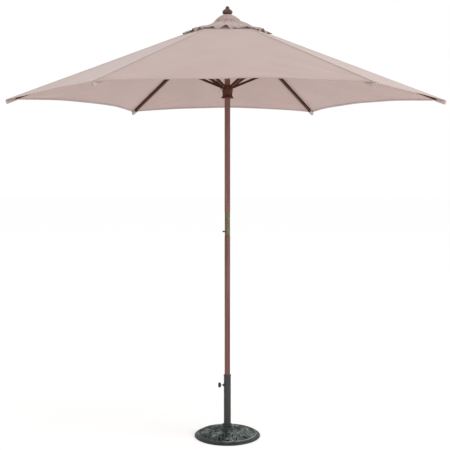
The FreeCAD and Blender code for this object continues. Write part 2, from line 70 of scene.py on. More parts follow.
# ---------------------------------------------------------------- sizes, from the frame
RIBS = 6
HALF = math.pi / RIBS
CAD_CLOTH = 0.002

joints = {joint["name"]: joint for joint in frame["joints"]}
PIVOT_RADIUS, _, PIVOT_Z = joints["canopy_fold"]["pos_m"]

panel_low, panel_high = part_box("canopy_1")
RIM = panel_high.x
VENT = panel_low.x / math.cos(HALF) ** 2
SLOPE = math.atan((panel_high.z - panel_low.z - CAD_CLOTH) / (RIM - VENT))
APEX = panel_high.z + VENT * math.tan(SLOPE)
GORE_SLOPE = math.atan(math.tan(SLOPE) / math.cos(HALF))
SPREAD = math.cos(GORE_SLOPE) * math.tan(HALF)         # half a gore's width per metre down it
DOWN_VENT = VENT * math.cos(HALF) / math.cos(GORE_SLOPE)
DOWN_RIM = RIM * math.cos(HALF) / math.cos(GORE_SLOPE)
DOWN_MIDDLE = panel_high.y / math.sin(HALF) / math.cos(GORE_SLOPE)
HEM_RISE = DOWN_RIM - DOWN_MIDDLE
HEM_RADIUS = ((RIM / 2) ** 2 + HEM_RISE ** 2) / (2 * HEM_RISE)
HEM_CENTRE = DOWN_MIDDLE + HEM_RADIUS

CAP_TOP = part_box("finial")[0].z - 0.0004
CAP_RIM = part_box("vent_flap_1")[1].x
CROWN_RIM = 0.078
SKIRT_START = 0.105                                    # where the cap settles on the ribs


# ---------------------------------------------------------------- node helpers
def add(tree, kind, inputs=None, **settings):
    """A new shader node. An input is a value, or another node's output."""
    node = tree.nodes.new(kind)
    for key, value in settings.items():
        setattr(node, key, value)
    for key, value in (inputs or {}).items():
        if isinstance(value, bpy.types.NodeSocket):
            tree.links.new(value, node.inputs[key])
        else:
            node.inputs[key].default_value = value
    return node


def new_material(name, **values):
    """A Principled material. Returns it, its tree and its shader."""
    made = bpy.data.materials.new(name)
    made.use_nodes = True
    shader = made.node_tree.nodes["Principled BSDF"]
    for key, value in values.items():
        shader.inputs[key.replace("_", " ")].default_value = value
    return made, made.node_tree, shader


def ramp(tree, factor, stops):
    """A colour ramp through (position, colour) stops."""
    node = add(tree, "ShaderNodeValToRGB", {"Fac": factor})
    while len(node.color_ramp.elements) < len(stops):
        node.color_ramp.elements.new(0.5)
    for element, (position, colour) in zip(node.color_ramp.elements, stops):
        element.position = position
        element.color = (*colour, 1)
    return node.outputs["Color"]


def math_node(tree, operation, *values):
    node = add(tree, "ShaderNodeMath", operation=operation)
    for socket, value in zip(node.inputs, values):
        if isinstance(value, bpy.types.NodeSocket):
            tree.links.new(value, socket)
        else:
            socket.default_value = value
    return node.outputs[0]


def mix_colours(tree, factor, a, b, blend="MIX"):
    node = add(tree, "ShaderNodeMix", data_type="RGBA", blend_type=blend)
    for socket, value in zip((node.inputs[0], node.inputs[6], node.inputs[7]), (factor, a, b)):
        if isinstance(value, bpy.types.NodeSocket):
            tree.links.new(value, socket)
        else:
            socket.default_value = (*value, 1) if isinstance(value, tuple) else value
    return node.outputs[2]


def noise(tree, vector, scale, detail, roughness=0.5):
    return add(tree, "ShaderNodeTexNoise", {"Vector": vector, "Scale": scale, "Detail": detail,
                                            "Roughness": roughness}).outputs["Fac"]


def bump(tree, shader, height, distance, strength):
    node = add(tree, "ShaderNodeBump", {"Height": height, "Distance": distance, "Strength": strength})
    tree.links.new(node.outputs["Normal"], shader.inputs["Normal"])


def object_space(tree):
    """Places in the row's own frame, in metres."""
    return add(tree, "ShaderNodeTexCoord").outputs["Object"]


def stretched(tree, vector, *scale):
    """The same places with X, Y and Z multiplied by these numbers."""
    return add(tree, "ShaderNodeMapping", {"Vector": vector, "Scale": scale}).outputs[0]


# ---------------------------------------------------------------- materials
THREAD = 0.0011                                        # pitch of the canvas weave
STITCH, STITCH_WIDTH, PUCKER_WIDTH = 0.004, 0.0006, 0.0016
HEM_WIDTH = 0.018
STITCH_LINE = HEM_WIDTH * 0.85                         # in from the cloth's edge


def bands(tree, vector, direction, pitch):
    """A wave along X or Y with this pitch, from 0 to 1."""
    return add(tree, "ShaderNodeTexWave", {"Vector": vector, "Scale": math.pi / 10 / pitch},
               wave_type="BANDS", bands_direction=direction, wave_profile="SIN").outputs["Fac"]


def canvas(name, colour, shade=1.0, translucency=0.16):
    """Woven canvas: fine threads, slubs, slow changes of tone, and a stitched line along its hem.

    The maps are in metres: Cloth runs across and down the gore, and Edge holds the distance along
    the hem and the distance in from it.
    """
    made, tree, shader = new_material(name, Roughness=0.88, Sheen_Weight=0.35, Sheen_Roughness=0.45)
    shader.inputs["Specular IOR Level"].default_value = 0.25
    cloth = add(tree, "ShaderNodeUVMap", uv_map="Cloth").outputs["UV"]
    edge = add(tree, "ShaderNodeUVMap", uv_map="Edge").outputs["UV"]

    warp, weft = bands(tree, cloth, "X", THREAD), bands(tree, cloth, "Y", THREAD)
    weave = math_node(tree, "MULTIPLY", warp, weft)
    slub = noise(tree, stretched(tree, cloth, 900, 40, 1), 1.0, 2.0)
    slow = noise(tree, cloth, 3.1, 4.0, 0.55)
    mottle = noise(tree, cloth, 38.0, 5.0, 0.6)
    dull, clear = tuple(c * 0.93 * shade for c in colour), tuple(c * 1.03 * shade for c in colour)
    tone = ramp(tree, slow, [(0.3, dull), (0.7, clear)])
    tone = mix_colours(tree, 0.12, tone, ramp(tree, mottle, [(0.3, dull), (0.75, clear)]))
    threads = ramp(tree, math_node(tree, "ADD", weave, math_node(tree, "MULTIPLY", slub, 0.5)),
                   [(0.2, (0.9,) * 3), (1.0, (1.03,) * 3)])
    tone = mix_colours(tree, 0.6, tone, threads, "MULTIPLY")

    along = add(tree, "ShaderNodeSeparateXYZ", {"Vector": edge})
    inward = math_node(tree, "ABSOLUTE", math_node(tree, "SUBTRACT", along.outputs["Y"], STITCH_LINE))
    on_line = math_node(tree, "LESS_THAN", inward, STITCH_WIDTH)
    dash = math_node(tree, "GREATER_THAN", math_node(tree, "FRACT", math_node(
        tree, "DIVIDE", along.outputs["X"], STITCH)), 0.3)
    stitch = math_node(tree, "MULTIPLY", on_line, dash)
    tone = mix_colours(tree, stitch, tone, tuple(c * 1.12 * shade for c in colour))
    puckered = math_node(tree, "LESS_THAN", inward, PUCKER_WIDTH)
    sewn = math_node(tree, "SUBTRACT", math_node(tree, "MULTIPLY", stitch, 1.2), puckered)
    rough = math_node(tree, "ADD", math_node(tree, "MULTIPLY", mottle, 0.5), sewn)
    height = math_node(tree, "ADD", math_node(tree, "MULTIPLY", weave, 0.35), rough)
    tree.links.new(tone, shader.inputs["Base Color"])
    bump(tree, shader, height, 0.0004, 0.5)

    glow = add(tree, "ShaderNodeBsdfTranslucent", {"Color": tone})
    both = add(tree, "ShaderNodeMixShader", {0: translucency, 1: shader.outputs[0], 2: glow.outputs[0]})
    tree.links.new(both.outputs[0], tree.nodes["Material Output"].inputs["Surface"])
    return made


def wood(name, turn, dark, light, roughness=0.5, coat=0.1, specular=0.3):
    """Varnished hardwood whose grain runs along the piece's own X."""
    made, tree, shader = new_material(name, Coat_Weight=coat, Coat_Roughness=0.3)
    shader.inputs["Specular IOR Level"].default_value = specular
    place = add(tree, "ShaderNodeMapping", {"Vector": object_space(tree),
                                            "Rotation": turn.to_euler("XYZ")}).outputs[0]
    drift = noise(tree, stretched(tree, place, 1.6, 14, 14), 1.0, 3.0)
    rings = add(tree, "ShaderNodeTexWave", {
        "Vector": stretched(tree, place, 0.35, 9, 9),
        "Scale": 2.4, "Distortion": 9.0, "Detail": 3.0, "Detail Scale": 1.3},
        wave_type="RINGS", rings_direction="X").outputs["Fac"]
    fibre = noise(tree, stretched(tree, place, 14, 620, 620), 1.0, 3.0, 0.6)
    pores = noise(tree, stretched(tree, place, 55, 1500, 1500), 1.0, 2.0)
    middle = tuple((a + b) / 2 for a, b in zip(dark, light))
    tone = ramp(tree, rings, [(0.1, dark), (0.55, middle), (0.95, light)])
    tone = mix_colours(tree, 0.35, tone, ramp(tree, drift, [(0.3, dark), (0.7, light)]))
    tone = mix_colours(tree, 0.45, tone, ramp(tree, fibre, [(0.3, dark), (0.7, light)]))
    pitted = math_node(tree, "LESS_THAN", pores, 0.36)
    tone = mix_colours(tree, math_node(tree, "MULTIPLY", pitted, 0.55), tone,
                       tuple(c * 0.35 for c in dark))
    tree.links.new(tone, shader.inputs["Base Color"])
    tree.links.new(ramp(tree, fibre, [(0.2, (roughness - 0.08,) * 3), (0.8, (roughness + 0.1,) * 3)]),
                   shader.inputs["Roughness"])
    height = math_node(tree, "SUBTRACT", fibre, math_node(tree, "MULTIPLY", pitted, 0.6))
    bump(tree, shader, height, 0.0003, 0.35)
    return made


def metal(name, dark, light, roughness):
    """Metal with tarnish in patches and fine handling marks."""
    made, tree, shader = new_material(name, Metallic=1.0)
    place = object_space(tree)
    patches = noise(tree, place, 55.0, 5.0, 0.6)
    marks = noise(tree, place, 260.0, 4.0, 0.65)
    tone = ramp(tree, patches, [(0.32, dark), (0.68, light)])
    tree.links.new(mix_colours(tree, 0.25, tone, ramp(tree, marks, [(0.35, dark), (0.65, light)])),
                   shader.inputs["Base Color"])
    tree.links.new(ramp(tree, marks, [(0.25, (roughness - 0.09,) * 3), (0.75, (roughness + 0.12,) * 3)]),
                   shader.inputs["Roughness"])
    bump(tree, shader, marks, 0.00008, 0.6)
    return made


def cast_iron(name):
    """Black-green painted casting: sandy skin, painted shade darkening its recesses to near black, and
    paint scuffed off the high edges, which are lightened as wear and as a painted highlight.
    """
    made, tree, shader = new_material(name, Metallic=0.35)
    place = object_space(tree)
    patches, skin = noise(tree, place, 34.0, 6.0, 0.62), noise(tree, place, 420.0, 5.0, 0.7)
    curvature = add(tree, "ShaderNodeNewGeometry").outputs["Pointiness"]
    tone = ramp(tree, patches, [(0.3, (0.006, 0.0085, 0.0085)), (0.52, (0.015, 0.024, 0.023)),
                                (0.75, (0.034, 0.053, 0.050))])
    edges = ramp(tree, curvature, [(0.512, (0, 0, 0)), (0.560, (1, 1, 1))])
    grains = ramp(tree, skin, [(0.35, (0.10,) * 3), (0.6, (0.9,) * 3)])
    # Patches where the high edges are lightened: patchy wear, and where the painted highlights fall.
    wear_and_highlight_patches = ramp(tree, noise(tree, place, 17.0, 2.0), [(0.47, (0.14,) * 3), (0.61, (1.0,) * 3)])
    rubbed_and_highlight = math_node(tree, "MULTIPLY", math_node(tree, "MULTIPLY", edges, grains), wear_and_highlight_patches)
    # Lightened high edges: scuffed paint, and partly a painted highlight standing in for glints off the
    # leaves.
    tone = mix_colours(tree, rubbed_and_highlight, tone, (0.52, 0.58, 0.56))
    # Recesses darkened to near black: painted shade.
    hollow_shade = ramp(tree, curvature, [(0.43, (1, 1, 1)), (0.495, (0, 0, 0))])
    tone = mix_colours(tree, math_node(tree, "MULTIPLY", hollow_shade, 0.8), tone, (0.002, 0.003, 0.003))
    tree.links.new(tone, shader.inputs["Base Color"])
    tree.links.new(ramp(tree, skin, [(0.3, (0.42,) * 3), (0.7, (0.66,) * 3)]), shader.inputs["Roughness"])
    height = math_node(tree, "ADD", skin, math_node(tree, "MULTIPLY", patches, 1.5))
    bump(tree, shader, height, 0.0006, 0.55)
    return made


def enamel(name, colour):
    """Sprayed enamel with a light orange peel and dust on it."""
    made, tree, shader = new_material(name)
    place = object_space(tree)
    peel, dust = noise(tree, place, 900.0, 2.0), noise(tree, place, 22.0, 6.0, 0.65)
    tree.links.new(ramp(tree, dust, [(0.35, colour), (0.8, tuple(c * 1.5 + 0.004 for c in colour))]),
                   shader.inputs["Base Color"])
    tree.links.new(ramp(tree, dust, [(0.3, (0.38,) * 3), (0.75, (0.56,) * 3)]), shader.inputs["Roughness"])
    bump(tree, shader, peel, 0.0002, 0.4)
    return made


def plastic(name, colour, roughness=0.45):
    """Moulded plastic with a fine spark-eroded grain."""
    made, tree, shader = new_material(name, Roughness=roughness)
    place = object_space(tree)
    grain = add(tree, "ShaderNodeTexVoronoi", {"Vector": place, "Scale": 1500.0}).outputs["Distance"]
    smear = noise(tree, place, 60.0, 4.0)
    tree.links.new(ramp(tree, smear, [(0.3, colour), (0.75, tuple(c * 1.35 + 0.004 for c in colour))]),
                   shader.inputs["Base Color"])
    tree.links.new(ramp(tree, smear, [(0.3, (roughness - 0.08,) * 3), (0.7, (roughness + 0.1,) * 3)]),
                   shader.inputs["Roughness"])
    bump(tree, shader, grain, 0.00015, 0.35)
    return made


def rib_space(number):
    """Places of a rib's own frame, with X out along the rib from its pivot, in the row frame."""
    return (Matrix.Rotation(2 * HALF * number, 4, "Z") @ Matrix.Translation((PIVOT_RADIUS, 0, PIVOT_Z))
            @ Matrix.Rotation(SLOPE, 4, "Y"))


def strut_slope():
    low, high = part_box("strut_1")
    return math.atan2(high.z - low.z, high.x - low.x)


CLOTH_COLOUR = (0.446, 0.326, 0.297)
POLE_DARK, POLE_LIGHT = (0.052, 0.018, 0.012), (0.182, 0.076, 0.059)
# The upper pole's wood is a lighter copy of the lower pole's: painted light, to make up for the canopy's
# shade on it.
UPPER_BRIGHTENED_DARK, UPPER_BRIGHTENED_LIGHT = (0.074, 0.026, 0.019), (0.258, 0.112, 0.091)
RIB_DARK, RIB_LIGHT = (0.026, 0.0062, 0.0024), (0.088, 0.024, 0.010)

upright = Matrix.Rotation(math.pi / 2, 3, "Y")         # turns the row's Z onto X
canopy_cloth = canvas("canopy_canvas", CLOTH_COLOUR)
# The seam tape's colour is darkened to 0.93 of the canopy's: painted shade, for the doubled cloth that lets
# less light through.
seam_cloth = canvas("seam_tape", CLOTH_COLOUR, shade=0.93, translucency=0.05)
pocket_cloth = canvas("pocket_canvas", (0.44, 0.338, 0.306), translucency=0.08)
iron = cast_iron("cast_iron_verdigris")
materials = {
    "base_casting": iron,
    "base_tube": enamel("tube_enamel", (0.012, 0.0135, 0.013)),
    "tube_plug": plastic("plug_plastic", (0.012, 0.012, 0.012)),
    "tube_bush": plastic("bush_plastic", (0.016, 0.017, 0.017)),
    "base_bolt": metal("zinc_steel", (0.30, 0.31, 0.31), (0.50, 0.51, 0.52), 0.38),
    "clamp_screw": metal("bright_steel", (0.42, 0.43, 0.44), (0.62, 0.63, 0.64), 0.26),
    "clamp_knob": plastic("knob_plastic", (0.010, 0.011, 0.011), 0.40),
    "lower_pole": wood("pole_hardwood", upright, POLE_DARK, POLE_LIGHT),
    # Lighter wood on the upper pole: painted light.
    "upper_pole": wood("upper_pole_hardwood", upright, UPPER_BRIGHTENED_DARK, UPPER_BRIGHTENED_LIGHT),
    "brass_sleeve": metal("aged_brass", (0.072, 0.058, 0.032), (0.165, 0.128, 0.080), 0.36),
    "thumb_screw": metal("dark_brass", (0.045, 0.055, 0.036), (0.12, 0.13, 0.075), 0.40),
    "top_hub": wood("hub_hardwood", upright, RIB_DARK, RIB_LIGHT, 0.5, 0.03, 0.2),
    "finial": wood("finial_hardwood", upright, (0.030, 0.010, 0.007), (0.115, 0.045, 0.033), 0.4, 0.2),
    "rib_bracket": metal("bracket_steel", (0.055, 0.055, 0.055), (0.13, 0.13, 0.13), 0.45),
}
same = {"clamp_boss": "base_tube", "base_washer": "base_bolt", "hub_pins": "base_bolt",
        "runner_pins": "base_bolt", "finial_stud": "base_bolt", "crown_washer": "base_bolt",
        "sleeve_pins": "brass_sleeve", "runner": "top_hub", "lock_pin": "clamp_screw",
        "lock_ring": "clamp_screw"}


def paint(node, material):
    for place in frame["nodes"][node].material_slots:
        place.material = material


for node in frame["nodes"]:
    stem, _, number = node.rpartition("_")
    if stem in ("rib", "strut"):
        turn = Matrix.Rotation(-2 * HALF * (int(number) - 1), 3, "Z")
        lean = -SLOPE if stem == "rib" else strut_slope()
        along = Matrix.Rotation(lean, 3, "Y") @ turn
        paint(node, wood(f"{node}_hardwood", along, RIB_DARK, RIB_LIGHT, 0.55, 0.0, 0.15))
    elif stem == "rib_bracket":
        paint(node, materials[stem])
    elif same.get(node, node) in materials:
        paint(node, materials[same.get(node, node)])


# ---------------------------------------------------------------- mesh helpers
def smooth_step(x):
    x = np.clip(x, 0, 1)
    return x * x * (3 - 2 * x)


def steps(x, z):
    """How far it is from each point of a line to the next."""
    return np.hypot(np.diff(x), np.diff(z))


def grid_faces(rows, columns):
    index = np.arange(rows * columns).reshape(rows, columns)
    return np.stack([index[:-1, :-1], index[1:, :-1], index[1:, 1:], index[:-1, 1:]], -1).reshape(-1, 4)


def grid_normals(points):
    """Upward normals of a grid whose rows run out along a gore and whose columns run across it."""
    normal = np.cross(np.gradient(points, axis=0), np.gradient(points, axis=1))
    return normal / np.maximum(np.linalg.norm(normal, axis=-1, keepdims=True), 1e-12)


def mesh_object(name, points, faces, material):
    """A smooth object from its points and faces."""
    mesh = bpy.data.meshes.new(name)
    mesh.from_pydata(points.reshape(-1, 3).tolist(), [], faces.tolist())
    mesh.shade_smooth()
    mesh.materials.append(material)
    made = bpy.data.objects.new(name, mesh)
    bpy.context.scene.collection.objects.link(made)
    return made


def grid_object(name, points, maps, material, normals=None):
    """A smooth open sheet over a grid of points. Maps are named UV grids in metres."""
    faces = grid_faces(*points.shape[:2])
    mesh = bpy.data.meshes.new(name)
    mesh.from_pydata(points.reshape(-1, 3).tolist(), [], faces.tolist())
    for map_name, uv in maps.items():
        layer = mesh.uv_layers.new(name=map_name)
        layer.data.foreach_set("uv", uv.reshape(-1, 2)[faces.ravel()].astype(np.float32).ravel())
    mesh.shade_smooth()
    if normals is not None:
        mesh.normals_split_custom_set_from_vertices(normals.reshape(-1, 3).tolist())
    mesh.materials.append(material)
    piece = bpy.data.objects.new(name, mesh)
    bpy.context.scene.collection.objects.link(piece)
    return piece


def turned(points, angle):
    """Points turned about the pole."""
    c, s = math.cos(angle), math.sin(angle)
    return points @ np.array([[c, s, 0], [-s, c, 0], [0, 0, 1]])


def on_gore(across, down, lift):
    """Points of a gore whose middle runs along +X. Lift is the height above its flat plane."""
    return np.stack([down * math.cos(GORE_SLOPE) + lift * math.sin(GORE_SLOPE), across,
                     APEX - down * math.sin(GORE_SLOPE) + lift * math.cos(GORE_SLOPE)], -1)


# ---------------------------------------------------------------- cloth that folds with its rib
def gather(piece, rib):
    """Hang half a gore on its rib, on a mesh of its own.
    """
    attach(piece, f"rib_{rib + 1}")
    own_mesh(piece)


LEAN_UNDER, LEAN_OVER = math.radians(32), math.radians(21)


def half_gores(name, gore, points, maps, node):
    """Cut a gore's grid down its middle and hang each half on its rib."""
    middle = points.shape[1] // 2
    normals = grid_normals(points)
    first = (1, gore, slice(0, middle + 1), LEAN_UNDER, "a")
    second = (-1, (gore + 1) % RIBS, slice(middle, None), LEAN_OVER, "b")
    for side, rib, columns, lean, letter in (first, second):
        piece = grid_object(f"{name}_{rib + 1}{letter}", points[:, columns],
                            {key: uv[:, columns] for key, uv in maps.items()}, canopy_cloth,
                            normals[:, columns])
        gather(piece, rib)
        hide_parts(f"{node}_{rib + 1}")


# ---------------------------------------------------------------- the canopy
ACROSS, DOWN = 97, 84
SAG = 0.010
CREASE, CREASE_REACH = 0.0011, 0.2                     # height, and where it peaks from the corner
HEM_RIPPLE = 0.0022
SLACK = 0.0005                                         # height of the small waves all over
# Steps along the cloth and off its surface. The vent's edge is turned under. The hem goes over the
# cloth's edge, under it and back, with its raw edge turned in
VENT_FOLD = [(0.012, -0.0016), (0.0, -0.0014), (-0.0005, -0.0007)]
HEM_FOLD = [(0.0006, -0.0004), (0.0006, -0.0012), (0.0, -0.0016), (-0.004, -0.0018),
            (-0.011, -0.0018), (-HEM_WIDTH, -0.0015)]


def drape(rng, across, down):
    """How far one gore's cloth stands off its plane: slack in the middle, creased at the corners."""
    x = np.clip(across / (SPREAD * down), -1, 1)
    t = np.clip((down - DOWN_VENT) / (DOWN_MIDDLE - DOWN_VENT), 0, 1.2)
    free = 1 - x ** 2
    lift = -SAG * t ** 1.4 * free
    for side in (-1, 1):
        inward, up = RIM / 2 - side * across, DOWN_RIM - down
        reach, angle = np.hypot(inward, up), np.arctan2(up, inward)
        creases = sum(rng.uniform(0.5, 1.0) * np.sin(count * angle + rng.uniform(0, 6.3))
                      for count in (11, 17, 26))
        reach = reach / CREASE_REACH
        lift = lift + CREASE * creases * reach * np.exp(1 - reach) * free
    for waves in (1.5, 2.5, 3.5):
        ripple = np.sin(waves * math.pi * x + rng.uniform(0, 6.3))
        lift = lift + HEM_RIPPLE / waves * ripple * t ** 5 * free
    for _ in range(5):
        direction, wave = rng.uniform(0, math.pi), rng.uniform(8, 20)
        lift = lift + SLACK * free * np.sin(
            wave * (across * math.cos(direction) + down * math.sin(direction)) + rng.uniform(0, 6.3))
    return lift


def hem_down(share):
    """Distance down the gore to its curved hem, at a share from the middle (0) to a rib (1)."""
    widen = 1 + (share * SPREAD) ** 2
    return (HEM_CENTRE - np.sqrt(HEM_CENTRE ** 2 - widen * (HEM_CENTRE ** 2 - HEM_RADIUS ** 2))) / widen


def canopy_grid(rng):
    """One gore's points and maps, with its middle along +X."""
    share = np.linspace(-1, 1, ACROSS)
    hem = hem_down(np.abs(share))
    rows = [(np.full(ACROSS, DOWN_VENT + step), off) for step, off in VENT_FOLD]
    rows += [(DOWN_VENT + (hem - DOWN_VENT) * t, 0.0) for t in np.linspace(0, 1, DOWN)]
    rows += [(hem + step, off) for step, off in HEM_FOLD]
    down = np.array([row for row, _ in rows])
    off = np.array([np.full(ACROSS, value) for _, value in rows])
    across = share * SPREAD * down
    points = on_gore(across, down, drape(rng, across, down) + off)
    maps = {"Cloth": np.stack([across, down], -1), "Edge": np.stack([across, hem - down], -1)}
    return points, maps


for gore in range(RIBS):
    points, maps = canopy_grid(np.random.default_rng(40 + gore))
    half_gores("canopy_cloth", gore, turned(points, (2 * gore + 1) * HALF), maps,
               "canopy")


# ---------------------------------------------------------------- the vent cap
CAP_ACROSS, CAP_DOWN = 73, 40
FLAP_START = 0.036                                     # tucked under the crown patch
CAP_HEM = 0.012
CAP_FOLD = [(0.0006, -0.0006), (0.0, -0.0014), (-0.005, -0.0016), (-CAP_HEM, -0.0014)]
PEAK, PEAK_START = 0.029, 0.034                        # the peak's height over the ribs, and its flat top
RUFFLE = 0.016
CAP_DRAWS = (70, 71, 72, 73, 49, 75)                   # one seed for each gore's ruffles
FOLD_HEIGHT = 0.0060
FOLD_WAVES = [(13, 0.55, 2.1), (17, 0.50, 4.4), (29, 0.30, 0.7), (41, 0.15, 3.0)]
PUFF, PUFF_AZIMUTH, PUFF_RADIUS = 0.011, math.radians(-12), 0.118
CROWN_SHRINK = 0.985                                   # the crown is drawn in over the cap's folds
CROWN_HEM, CROWN_HOLE = 0.010, 0.0046                  # the hole is for the finial's stud
SKIRT_END, SKIRT_LIFT = 0.250, 0.011                   # where the skirt stands highest, and how high
TURN_DOWN = 0.0045                                     # from there the rim turns down by this much


def cap_height(r):
    """Height of the cap over a rib, at this distance from the pole's axis."""
    plane = APEX - r * math.tan(SLOPE)
    fall = np.clip((r - PEAK_START) / (SKIRT_START - PEAK_START), 0, 1)
    peak = PEAK * (0.5 + 0.5 * np.cos(np.pi * fall))
    skirt = 0.0008 + SKIRT_LIFT * np.clip((r - SKIRT_START) / (SKIRT_END - SKIRT_START), 0, 1.2)
    turned_down = TURN_DOWN * smooth_step((r - SKIRT_END) / (CAP_RIM - SKIRT_END))
    return np.minimum(plane + peak + skirt - turned_down, CAP_TOP)


def cap_folds(azimuth, r):
    """Soft folds that fall from the cap's peak, none at the ribs and the hem, and a puff on one side."""
    share = np.tan(((azimuth / HALF) % 2 - 1) * HALF) / math.tan(HALF)
    wave = sum(size * np.sin(count * azimuth + phase) for count, size, phase in FOLD_WAVES)
    fade = smooth_step((r - 0.028) / 0.055) * (1 - smooth_step((r - 0.125) / 0.085))
    turn = np.angle(np.exp(1j * (azimuth - PUFF_AZIMUTH)))
    puff = PUFF * np.exp(-(turn / 0.9) ** 2) * np.exp(-((r - PUFF_RADIUS) / 0.042) ** 2)
    return FOLD_HEIGHT * np.clip(wave, -0.25, 1.5) * fade * (1 - np.abs(share) ** 3) + puff


def cap_points(rng, r, share, gore):
    """Points of the cap over one gore. Share runs from -1 at one rib to 1 at the next."""
    x, y = r * math.cos(HALF), r * math.sin(HALF) * share
    round_off = smooth_step((0.120 - r) / 0.060)
    scale = 1 + round_off * (0.97 * r / np.maximum(np.hypot(x, y), 1e-9) - 1)
    free = 1 - np.abs(share) ** 3
    grow = np.clip((r - 0.150) / (CAP_RIM - 0.150), 0, 1.1) ** 1.5
    ruffle = sum(size * np.sin(waves * math.pi * share + rng.uniform(0, 6.3))
                 for waves, size in ((2.5, 0.55), (4.0, 0.45), (6.5, 0.2)))
    creases = sum(rng.uniform(0.4, 1.0) * np.sin(waves * math.pi * share + rng.uniform(0, 6.3))
                  for waves in (5, 8, 12)) * 0.0009 * smooth_step((r - 0.09) / 0.05) * (1 - grow)
    folds = cap_folds((2 * gore + 1) * HALF + np.arctan(share * math.tan(HALF)), r)
    lift = np.maximum(RUFFLE * ruffle + 0.002, -0.007) * grow * free + creases * free
    return np.stack([x * scale, y * scale, cap_height(r) + lift + folds], -1)


def crown_patch():
    """The round patch sewn over the cap's peak, under the finial."""
    rng = np.random.default_rng(7)
    angle = np.linspace(0, 2 * np.pi, 6 * 24 + 1)
    radii = list(np.linspace(CROWN_HOLE, CROWN_RIM - 0.002, 26))
    rows = [(r, 0.0007) for r in radii] + [(CROWN_RIM - 0.0004, 0.0005), (CROWN_RIM, 0.0001),
                                          (CROWN_RIM - 0.0006, -0.0003), (CROWN_RIM - 0.008, -0.0004)]
    phases = rng.uniform(0, 6.3, 3)
    points, edge = [], []
    for r, off in rows:
        pucker = sum(np.sin(count * angle + phase) for count, phase in zip((12, 19, 31), phases))
        around = np.full_like(angle, r)
        z = cap_height(around) + off + 0.0003 * pucker * smooth_step((r - 0.025) / 0.04)
        z = np.minimum(z + cap_folds(angle, around), CAP_TOP)
        reach = CROWN_SHRINK * r
        points.append(np.stack([reach * np.cos(angle), reach * np.sin(angle), z], -1))
        edge.append(np.stack([angle * CROWN_RIM, np.full_like(angle, CROWN_RIM - r + HEM_WIDTH * 0.6)], -1))
    points = np.array(points)
    maps = {"Cloth": points[..., :2].copy(), "Edge": np.array(edge)}
    piece = grid_object("cap_crown", points, maps, canopy_cloth)
    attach(piece, "upper_pole")
    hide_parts("vent_crown")
    r = np.linspace(CROWN_HOLE, CROWN_RIM, 60)


def cap_grid(rng, gore):
    share = np.linspace(-1, 1, CAP_ACROSS)
    radii = [(r, 0.0) for r in np.linspace(FLAP_START, CAP_RIM, CAP_DOWN)]
    radii += [(CAP_RIM + step, off) for step, off in CAP_FOLD]
    r, off = (np.repeat([row[n] for row in radii], CAP_ACROSS).reshape(-1, CAP_ACROSS) for n in (0, 1))
    shares = np.broadcast_to(share, r.shape)
    points = cap_points(rng, r, shares, gore)
    points[..., 2] += off
    across, down = r * math.sin(HALF) * shares, r * math.cos(HALF) / math.cos(GORE_SLOPE)
    edge = (CAP_RIM - r) * math.cos(HALF) / math.cos(GORE_SLOPE) + HEM_WIDTH * 0.35
    return points, {"Cloth": np.stack([across, down], -1), "Edge": np.stack([across, edge], -1)}


crown_patch()
for gore in range(RIBS):
    points, maps = cap_grid(np.random.default_rng(CAP_DRAWS[gore]), gore)
    half_gores("cap_cloth", gore, turned(points, (2 * gore + 1) * HALF), maps,
               "vent_flap")


# ---------------------------------------------------------------- seams and pockets
# Across the seam and up from the cloth, from its middle to its edge, with a stitched groove between
SEAM_HALF = [(0.0026, 0.0012), (0.0034, 0.0006), (0.0042, 0.0011), (0.0062, 0.0010), (0.0068, 0.0001)]
SEAM_SECTION = [(-y, z) for y, z in reversed(SEAM_HALF)] + [(0.0, 0.0015)] + SEAM_HALF
SEAM_STITCH = SEAM_HALF[1][0]
CAP_SEAM_START, CAP_SEAM_SHARE = 0.063, 0.8            # the cap's seams are narrower


def seam(name, rib, start, end, height, width=1.0):
    """A felled seam along a rib, lying on the two gores that it joins.

    Start and end are distances from the pole's axis, and height gives the cloth's height there.
    """
    r = np.linspace(start, end, 120)
    fall = math.tan(math.asin(math.sin(GORE_SLOPE) * math.sin(HALF)))
    rows = []
    for place, top in SEAM_SECTION:
        across = np.full_like(r, place * width)
        z = height(r) + top - abs(place * width) * fall
        rows.append(np.stack([r, across, z], -1))
    points = turned(np.stack(rows, 1), 2 * HALF * rib)
    across = np.broadcast_to([place for place, _ in SEAM_SECTION], points.shape[:2])
    cloth = np.stack([across, np.broadcast_to(r[:, None], points.shape[:2])], -1)
    edge = np.stack([cloth[..., 1], np.abs(across) + STITCH_LINE - SEAM_STITCH], -1)
    piece = grid_object(name, points, {"Cloth": cloth, "Edge": edge}, seam_cloth)
    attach(piece, f"rib_{rib + 1}")
    places, tops = np.array(SEAM_SECTION).T
    wide, long = float(steps(places * width, tops).sum()), float(steps(r, height(r)).sum())


